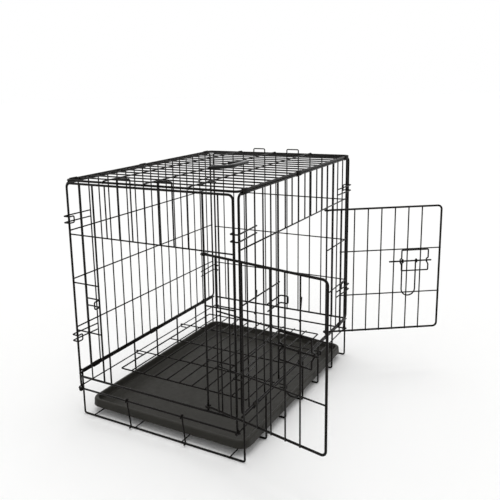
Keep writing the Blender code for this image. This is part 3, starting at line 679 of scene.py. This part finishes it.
def base_basket():
    """Cross wires bent up at both sides, with rims, rails and floor wires."""
    wires = Wires(coat=0.0)
    for k in range(CROSS_WIRES):
        y = -BASE_Y + 2 * BASE_Y * k / (CROSS_WIRES - 1)
        half = [(BASE_X, y, RIM_Z), (BASE_X, y, BASE_R)]
        wires.bent([(-u, v, n) for u, v, n in half] + half[::-1], BASE_R, BASE_CORNER)
    rim_end = SIDE_Y + FRAME_R
    rail_end = END_Y + GRID_R
    floor_end = BASE_Y + BASE_R + GRID_R
    floor_z = 2 * BASE_R + GRID_R - SINK
    for side in (-1, 1):
        x = side * SIDE_X
        wires.rod((x, -rim_end, RIM_Z), (x, rim_end, RIM_Z), FRAME_R)
        x = side * BASE_RAIL_X
        wires.rod((x, -rail_end, BASE_RAIL_Z), (x, rail_end, BASE_RAIL_Z))
        for floor_x in FLOOR_WIRES_X:
            x = side * floor_x
            wires.rod((x, -floor_end, floor_z), (x, floor_end, floor_z))
        y = side * END_Y
        wires.rod((-BASE_X, y, END_RAIL_Z), (BASE_X, y, END_RAIL_Z), BASE_R)
    wires.made("base_wires", "cage", "base_basket")


def divider_panel():
    """The loose dividing grid, stowed flat with two hooked wires on the base's rails."""
    cross_in = DIVIDER_R - GRID_R - RAIL_CLEAR
    plane_z = BASE_RAIL_Z + 2 * GRID_R + GAP - cross_in
    wires = Wires(lambda u, v, n: Vector((u, v, plane_z + n)))
    half = DIVIDER_SPACES * DIVIDER_PITCH / 2
    left = DIVIDER_SHIFT_X - half
    right = DIVIDER_SHIFT_X + half
    front = DIVIDER_FRONT_Y
    back = front + DIVIDER_LENGTH
    corners = [(left, front, 0), (right, front, 0), (right, back, 0), (left, back, 0)]
    wires.bent(corners, DIVIDER_R, closed=True)
    wires.rail((front + back) / 2, left, right, cross_in)
    out = BASE_RAIL_X + DIVIDER_HOOK_TURN
    low = cross_in - DIVIDER_HOOK_DEPTH
    for share in DIVIDER_HOOKS_AT:
        y = front + share * DIVIDER_LENGTH
        side = [(out - DIVIDER_HOOK_TAIL, y, low), (out, y, low), (out, y, cross_in)]
        wires.bent([(-u, v, n) for u, v, n in side] + side[::-1], corner=TIGHT_CORNER)
    for k in range(1, DIVIDER_SPACES):
        x = left + k * DIVIDER_PITCH
        wires.bar(x, front - GRID_R, back + GRID_R, frame_r=DIVIDER_R)
    wires.made("divider_wires", "cage", "divider_panel")


def bolt_depth():
    """How far the bolt lies in front of the door's plane."""
    return -(FRAME_R + GAP + JAMB_R)


def bolt_tip(pitch):
    """The bolt's free end with the bolt drawn back."""
    return (SIDE_JAMBS[1] - SIDE_JAMBS[0]) * pitch - KEEPER_BEFORE_JAMB - BOLT_TIP_CLEARANCE


def latch_bracket(wires, centre, outer):
    """A wire loop on two door bars, arched outwards on both sides to guide the bolt."""
    depth = BAR_IN - GRID_R - LOOP_R + SINK
    top = DOOR_RAILS[1] - GRID_R - LOOP_R - SINK
    bottom = top - BRACKET_DROP
    half = BRACKET_WIDTH / 2
    corners = []
    for side, start, end in ((-1, bottom, top), (1, top, bottom)):
        u = centre + side * half
        rise = math.copysign(1, end - start)
        corners.append((u, start, depth))
        for far, n in ((-1, depth), (-1, outer), (1, outer), (1, depth)):
            reach = ARCH_HALF if n == outer else ARCH_HALF + ARCH_FOOT
            corners.append((u, BOLT_HEIGHT + rise * far * reach, n))
        corners.append((u, end, depth))
    wires.bent(corners, LOOP_R, TIGHT_CORNER, closed=True)


def door(name, node, body, pitch, matrix):
    """A door in its own frame: hinge axis at the origin, width along X, outer face on +Y."""
    width = (SIDE_JAMBS[1] - SIDE_JAMBS[0]) * pitch + DOOR_OVERLAP
    first = (width - DOOR_LAST_SPACE) / DOOR_BARS
    top = DOOR_HEIGHT
    wires = Wires(door_place)

    def eye_point(side, along, across):
        return door_place(along, 0 if side < 0 else top, across)

    corners = [(EYE_NECK, 0, 0), (width, 0, 0), (width, top, 0), (EYE_NECK, top, 0)]
    hooked_frame(wires, door_place, JAMB_R, eye_point, corners)
    for v in DOOR_RAILS:
        wires.rail(v, first - GRID_R, width + RAIL_STUB)
    for k in range(1, DOOR_BARS + 1):
        wires.bar(k * first, -GRID_R, top + GRID_R)
    centre = bolt_tip(pitch) - BOLT_LENGTH / 2 + BRACKET_SHIFT
    latch_bracket(wires, centre, bolt_depth() - GAP - JAMB_R - LOOP_R)
    wires.made(name, body, node, matrix)


def bolt_matrix(pitch, matrix):
    """The place of a bolt's middle on its door."""
    middle = door_place(bolt_tip(pitch) - BOLT_LENGTH / 2, BOLT_HEIGHT, bolt_depth())
    return matrix @ Matrix.Translation(middle)


def bolt(word, pitch, matrix):
    """The sliding rod and the wire loop that hangs on it by two curled ends."""
    place = bolt_matrix(pitch, matrix)
    half = BOLT_LENGTH / 2
    rod = Wires()
    rod.along([Vector((-half, 0, 0)), Vector((half, 0, 0))], JAMB_R)
    rod.made(f"{word}_bolt_rod", f"{word}_bolt", f"{word}_bolt", place)
    pull = Wires()
    ring = JAMB_R + GAP + LOOP_R
    leg = PULL_LEG_GAP / 2
    bow = PULL_DROP - leg
    down = []
    for i in range(RING_STEPS):
        angle = -RING_TURN * (1 - i / RING_STEPS)
        down.append((0.0, ring * math.cos(angle), -ring * math.sin(angle)))
    slope = (PULL_TIP_OUT - ring) / PULL_DROP
    down += [(0.0, ring, 0.0), (0.0, ring + bow * slope, -bow)]
    points = [Vector((-leg + x, y, z)) for x, y, z in down]
    for i in range(1, RING_STEPS):
        angle = math.pi + math.pi * i / RING_STEPS
        drop = bow - leg * math.sin(angle)
        points.append(Vector((leg * math.cos(angle), ring + drop * slope, -drop)))
    points += [Vector((leg + x, y, z)) for x, y, z in reversed(down)]
    pull.along(points, LOOP_R)
    shift = Matrix.Translation((-PULL_SHIFT, 0, 0))
    pull.made(f"{word}_bolt_pull", f"{word}_bolt_handle", f"{word}_bolt_handle", place @ shift)


def tray_stop(word, x, end, tilt):
    """A wire leg hung on an end rail by an open ring, with a short foot turned outwards."""
    reach = END_RAIL_Z - STOP_END_Z
    wires = Wires()
    points = [Vector((0, across, -along)) for along, across in eye(BASE_R, LOOP_R)]
    leg = [Vector((0, 0, -EYE_NECK)), Vector((0, 0, -reach)), Vector((0, -STOP_FOOT, -reach))]
    wires.along(points + rounded(leg, SMALL_CORNER), LOOP_R)
    turn = Matrix.Rotation(0 if end < 0 else math.pi, 4, "Z") @ Matrix.Rotation(-tilt, 4, "X")
    place = Matrix.Translation((x, end * END_Y, END_RAIL_Z)) @ turn
    edge = "front" if end < 0 else "back"
    wires.made(f"{edge}_{word}_stop_wire", f"{edge}_{word}_stop", f"{edge}_{word}_tray_stop", place)


def tray_ring(half_x, half_y, radius, z):
    """A rounded rectangle's points at one height."""
    corners = [(half_x, half_y), (-half_x, half_y), (-half_x, -half_y), (half_x, -half_y)]
    points = []
    for i, (corner_x, corner_y) in enumerate(corners):
        centre_x = corner_x - math.copysign(radius, corner_x)
        centre_y = corner_y - math.copysign(radius, corner_y)
        for k in range(TRAY_CORNER_STEPS + 1):
            angle = math.pi / 2 * (i + k / TRAY_CORNER_STEPS)
            x = centre_x + radius * math.cos(angle)
            y = centre_y + radius * math.sin(angle)
            points.append((x, y, z))
    return points


def bridge(shape, rows):
    """Faces between rings of points that follow each other."""
    for low, high in zip(rows, rows[1:]):
        count = len(low)
        for k in range(count):
            n = (k + 1) % count
            shape.faces.new((low[k], low[n], high[n], high[k]))


def tray_profile():
    """The tray's section from the skirt's foot to the floor: insets and heights, softly bent."""
    top = TRAY_HEIGHT - TRAY_WALL
    ledge_z = top * TRAY_LEDGE_SHARE
    corners = [
        ((0.0, 0.0), TRAY_SKIRT_LIFT - TRAY_WALL),
        (TRAY_LIP, top),
        (TRAY_RIM, top),
        (TRAY_WALL_FOOT, ledge_z),
        (TRAY_LEDGE, ledge_z),
        (TRAY_FLOOR_EDGE, 0.0),
        (TRAY_FLOOR, 0.0),
    ]
    points = [Vector((inset, 0, z)) for (inset, _), z in corners]
    line = [points[0]]
    for i in range(1, len(corners) - 1):
        radius = corners[i][0][1]
        back = (points[i - 1] - points[i]).normalized()
        ahead = (points[i + 1] - points[i]).normalized()
        opening = back.angle(ahead)
        trim = radius / math.tan(opening / 2)
        centre = points[i] + (back + ahead).normalized() * radius / math.sin(opening / 2)
        start = points[i] + back * trim
        line += arc(centre, start, points[i] + ahead * trim, TRAY_BEND_STEPS)
    line.append(points[-1])
    return [(point.x, point.z) for point in line]


def tray():
    """A thin moulded tray: skirt, flat rim, stepped inner wall and floor."""
    half_x = BASE_X - BASE_R - TRAY_SIDE_CLEARANCE
    half_y = LENGTH / 2 - TRAY_END_CLEARANCE
    shape = bmesh.new()
    rows = []
    for inset, z in tray_profile():
        radius = max(TRAY_CORNER - inset / 2, TRAY_LEAST_CORNER)
        ring = tray_ring(half_x - inset, half_y - inset, radius, z)
        rows.append([shape.verts.new(point) for point in ring])
    bridge(shape, rows)
    shape.faces.new(rows[-1])
    mesh = bpy.data.meshes.new("tray")
    shape.to_mesh(mesh)
    shape.free()
    drawn = bpy.data.objects.new("drawn", mesh)
    bpy.context.scene.collection.objects.link(drawn)
    wall = drawn.modifiers.new("wall", "SOLIDIFY")
    wall.thickness = TRAY_WALL
    wall.offset = -1.0
    solid = evaluated(drawn)
    foot = 2 * BASE_R + 2 * GRID_R - SINK + TRAY_SEAT_GAP
    lowest = min(vertex.co.z for vertex in solid.vertices)
    solid.transform(Matrix.Translation((0, TRAY_SHIFT, foot - lowest)))
    piece("tray_moulding", solid, TRAY_GREY, "tray", "tray", TRAY_SMOOTH_BELOW)


def clip(node, x, low_z, high_z):
    """A bent sheet clip round two stacked wires, open towards the cage."""
    low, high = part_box(node)
    y = (low[1] + high[1]) / 2
    inner = FRAME_R + GAP
    side = math.copysign(1, x)
    steps = CLIP_ARC_STEPS
    outline = [(-CLIP_LIP, high_z + inner)]
    for i in range(steps + 1):
        angle = math.pi / 2 * (1 - i / steps)
        outline.append((inner * math.cos(angle), high_z + inner * math.sin(angle)))
    for i in range(steps + 1):
        angle = -math.pi / 2 * i / steps
        outline.append((inner * math.cos(angle), low_z + inner * math.sin(angle)))
    outline.append((-CLIP_LIP, low_z - inner))
    shape = bmesh.new()
    rows = []
    for end in (-CLIP_LENGTH / 2, CLIP_LENGTH / 2):
        rows.append([shape.verts.new((side * across, end, z)) for across, z in outline])
    for k in range(len(outline) - 1):
        face = (rows[0][k], rows[0][k + 1], rows[1][k + 1], rows[1][k])
        shape.faces.new(face if side > 0 else face[::-1])
    mesh = bpy.data.meshes.new("clip")
    shape.to_mesh(mesh)
    shape.free()
    drawn = bpy.data.objects.new("drawn", mesh)
    bpy.context.scene.collection.objects.link(drawn)
    wall = drawn.modifiers.new("wall", "SOLIDIFY")
    wall.thickness = CLIP_WALL
    wall.offset = 1.0
    edge = drawn.modifiers.new("edge", "BEVEL")
    edge.width = CLIP_BEVEL
    edge.segments = CLIP_BEVEL_STEPS
    edge.limit_method = "ANGLE"
    edge.angle_limit = CLIP_BEVEL_ABOVE
    solid = evaluated(drawn)
    solid.transform(Matrix.Translation((x, y, 0)))
    piece(f"{node}_sheet", solid, STEEL, "cage", node, CLIP_SMOOTH_BELOW)


def clips():
    """Three clips on each rim and three on each top edge."""
    for side, word in ((-1, "left"), (1, "right")):
        for spot in ("front", "middle", "back"):
            clip(f"{word}_rim_clip_{spot}", side * SIDE_X, RIM_Z, SIDE_BOTTOM_Z)
            clip(f"{word}_top_clip_{spot}", side * SIDE_X, SIDE_TOP_Z, TOP_Z)


def oval(angle, roundness):
    """A point of a squarish oval of half size one."""
    along, out = math.cos(angle), math.sin(angle)
    power = 2 / roundness
    return math.copysign(abs(along) ** power, along), math.copysign(abs(out) ** power, out)


def handle_strap():
    """The arch: slim legs that widen to a crowned grip with finger ripples inside."""
    half = HANDLE_PITCHES * TOP_PITCH / 2 - HANDLE_FOOT_ROOM
    bore = GRID_R + HANDLE_BORE_CLEARANCE
    top = HANDLE_REACH - HANDLE_GRIP_WIDTH / 2 - HANDLE_CROWN
    rise = (top - bore) / HANDLE_LEG_STEPS
    leg = [Vector((0, -half, bore + rise * i)) for i in range(HANDLE_LEG_STEPS)]
    corner = [Vector((0, -half, top - HANDLE_CORNER)), Vector((0, -half, top))]
    corner.append(Vector((0, -half + HANDLE_CORNER, top)))
    bend_line = rounded(corner, HANDLE_CORNER - HANDLE_BEND_ROOM)[1:-1]
    inside = half - HANDLE_CORNER
    count = HANDLE_GRIP_STEPS
    grip = [Vector((0, -inside + 2 * inside * i / count, top)) for i in range(1, count)]
    first = [p for p in leg if p.z < top - HANDLE_CORNER] + bend_line
    mirrored = [Vector((0, -p.y, p.z)) for p in reversed(first)]
    points = first + grip + mirrored
    shape = bmesh.new()
    rows = []
    last = len(points) - 1
    flat = Vector((1, 0, 0))
    for i, point in enumerate(points):
        along = (points[min(i + 1, last)] - points[max(i - 1, 0)]).normalized()
        across = along.cross(flat)
        height = min(max((point.z - bore) / (top - bore), 0.0), 1.0)
        width = HANDLE_LEG_WIDTH + (HANDLE_GRIP_WIDTH - HANDLE_LEG_WIDTH) * height ** 2
        share = point.y / inside
        crown = HANDLE_CROWN * (1 - min(abs(point.y) / half, 1.0) ** 2)
        ripple = 0.0
        if abs(share) < 1:
            wave = (1 + math.cos(math.pi * HANDLE_RIPPLES * share)) / 2
            ripple = HANDLE_RIPPLE_DEPTH * (1 - share ** HANDLE_RIPPLE_FADE) * wave
        ring = []
        for k in range(HANDLE_SIDES):
            wide, thick = oval(2 * math.pi * (k + 0.5) / HANDLE_SIDES, HANDLE_ROUNDNESS)
            out = across * wide * width / 2
            under = out.z < 0 and abs(along.y) > HANDLE_GRIP_LEVEL
            lift = Vector((0, 0, crown - (ripple if under else 0.0)))
            ring.append(shape.verts.new(point + out + lift + flat * thick * HANDLE_THICKNESS / 2))
        rows.append(ring)
    bridge(shape, rows)
    shape.faces.new(rows[0][::-1])
    shape.faces.new(rows[-1])
    bmesh.ops.recalc_face_normals(shape, faces=shape.faces)
    return shape, half, bore


def handle_foot(shape, y, bore):
    """A short tube on the pivot wire, with rounded outer edges, added to a shape."""
    outer = bore + HANDLE_FOOT_WALL
    half = HANDLE_FOOT_LENGTH / 2
    soft = HANDLE_FOOT_BEVEL
    outline = [(-half, bore), (-half, outer - soft), (-half + soft, outer), (half - soft, outer)]
    outline += [(half, outer - soft), (half, bore)]
    rows = []
    for along, out in outline:
        ring = []
        for k in range(HANDLE_FOOT_SIDES):
            angle = 2 * math.pi * k / HANDLE_FOOT_SIDES
            ring.append(shape.verts.new((out * math.cos(angle), y + along, out * math.sin(angle))))
        rows.append(ring)
    bridge(shape, rows + rows[:1])


def carry_handle():
    """A plastic arch on two feet that turn on the top's middle long wire."""
    shape, half, bore = handle_strap()
    for y in (-half, half):
        handle_foot(shape, y, bore)
    bmesh.ops.recalc_face_normals(shape, faces=shape.faces)
    mesh = bpy.data.meshes.new("carry_handle")
    shape.to_mesh(mesh)
    shape.free()
    lie = Matrix.Rotation(math.pi / 2 - HANDLE_REST_TILT, 4, "Y")
    mesh.transform(Matrix.Translation((0, 0, TOP_Z + BAR_IN)) @ lie)
    piece("carry_handle_moulding", mesh, HANDLE_BLACK, "carry_handle", "carry_handle")


def hung(x, y, z, angle):
    """The place of a door whose hinge axis stands at a point, opened by an angle."""
    return Matrix.Translation((x, y, z)) @ Matrix.Rotation(angle, 4, "Z")


def cage():
    """Every piece of the cage."""
    base_basket()
    left_side_panel()
    right_side_panel()
    end_panel("front_end_wires", "front_end_panel", front_place, END_JAMBS)
    end_panel("back_end_wires", "back_end_panel", back_place, None)
    top_panel()
    divider_panel()
    clips()
    tray()
    carry_handle()
    hinge_x = -END_X + END_JAMBS[1] * END_PITCH
    front = hung(hinge_x, -END_Y + JAMB_IN, END_BOTTOM_Z + FRONT_DOOR_LIFT, FRONT_DOOR_ANGLE)
    hinge_y = -SIDE_Y + SIDE_JAMBS[1] * RIGHT_PITCH
    side = hung(SIDE_X - JAMB_IN, hinge_y, SIDE_BOTTOM_Z + SIDE_DOOR_LIFT, SIDE_DOOR_ANGLE)
    for word, pitch, place in (("front", END_PITCH, front), ("side", RIGHT_PITCH, side)):
        door(f"{word}_door_wires", f"{word}_door", f"{word}_door", pitch, place)
        bolt(word, pitch, place)
    closed = math.atan2(BASE_Y + BASE_R + GAP + LOOP_R - END_Y, END_RAIL_Z - BASE_R * 2)
    opened = math.pi - STOP_OPEN_TILT
    for x, word in ((-STOPS_X, "left"), (STOPS_X, "right")):
        tray_stop(word, x, -1, closed)
        tray_stop(word, x, 1, opened)


def seen_directly(tree):
    """Add to a node tree the choice that is 1 for camera, mirrored and see-through rays."""
    rays = tree.nodes.new("ShaderNodeLightPath")
    first = tree.nodes.new("ShaderNodeMath")
    first.operation = "MAXIMUM"
    tree.links.new(rays.outputs["Is Camera Ray"], first.inputs[0])
    tree.links.new(rays.outputs["Is Glossy Ray"], first.inputs[1])
    both = tree.nodes.new("ShaderNodeMath")
    both.operation = "MAXIMUM"
    tree.links.new(first.outputs[0], both.inputs[0])
    tree.links.new(rays.outputs["Is Transmission Ray"], both.inputs[1])
    return both.outputs[0]


def floor():
    """A plain white floor that keeps the shadow and whose far side runs into the background."""
    mesh = bpy.data.meshes.new("floor")
    shape = bmesh.new()
    bmesh.ops.create_grid(shape, x_segments=1, y_segments=1, size=FLOOR_HALF)
    shape.to_mesh(mesh)
    shape.free()
    made = bpy.data.objects.new("floor", mesh)
    bpy.context.scene.collection.objects.link(made)
    look = bpy.data.materials.new("floor_white")
    look.use_nodes = True
    tree = look.node_tree
    shader = tree.nodes["Principled BSDF"]
    shader.inputs["Roughness"].default_value = FLOOR_ROUGHNESS
    shader.inputs["Specular IOR Level"].default_value = FLOOR_SHINE
    paint = tree.nodes.new("ShaderNodeMix")
    paint.data_type = "RGBA"
    paint.inputs["A"].default_value = (*FLOOR_SEEN_BY_PIECES, 1.0)
    paint.inputs["B"].default_value = (*FLOOR_SEEN_DIRECTLY, 1.0)
    tree.links.new(seen_directly(tree), paint.inputs["Factor"])
    tree.links.new(paint.outputs["Result"], shader.inputs["Base Color"])
    mesh.materials.append(look)


def lights():
    """A white studio all round and one soft key light."""
    world = bpy.data.worlds.new("studio")
    bpy.context.scene.world = world
    world.use_nodes = True
    tree = world.node_tree
    ground = tree.nodes["Background"]
    ground.inputs["Color"].default_value = (1, 1, 1, 1)
    level = tree.nodes.new("ShaderNodeMapRange")
    level.inputs["To Min"].default_value = WORLD_LEVEL
    level.inputs["To Max"].default_value = 1.0
    tree.links.new(seen_directly(tree), level.inputs["Value"])
    tree.links.new(level.outputs[0], ground.inputs["Strength"])
    sun = bpy.data.lights.new("key", "SUN")
    sun.energy = KEY_ENERGY
    sun.angle = KEY_SPREAD
    made = bpy.data.objects.new("key", sun)
    made.rotation_euler = Vector(KEY_WAY).to_track_quat("-Z", "Y").to_euler()
    bpy.context.scene.collection.objects.link(made)


cage()
camera()
floor()
lights()
bpy.context.scene.view_settings.view_transform = "Standard"
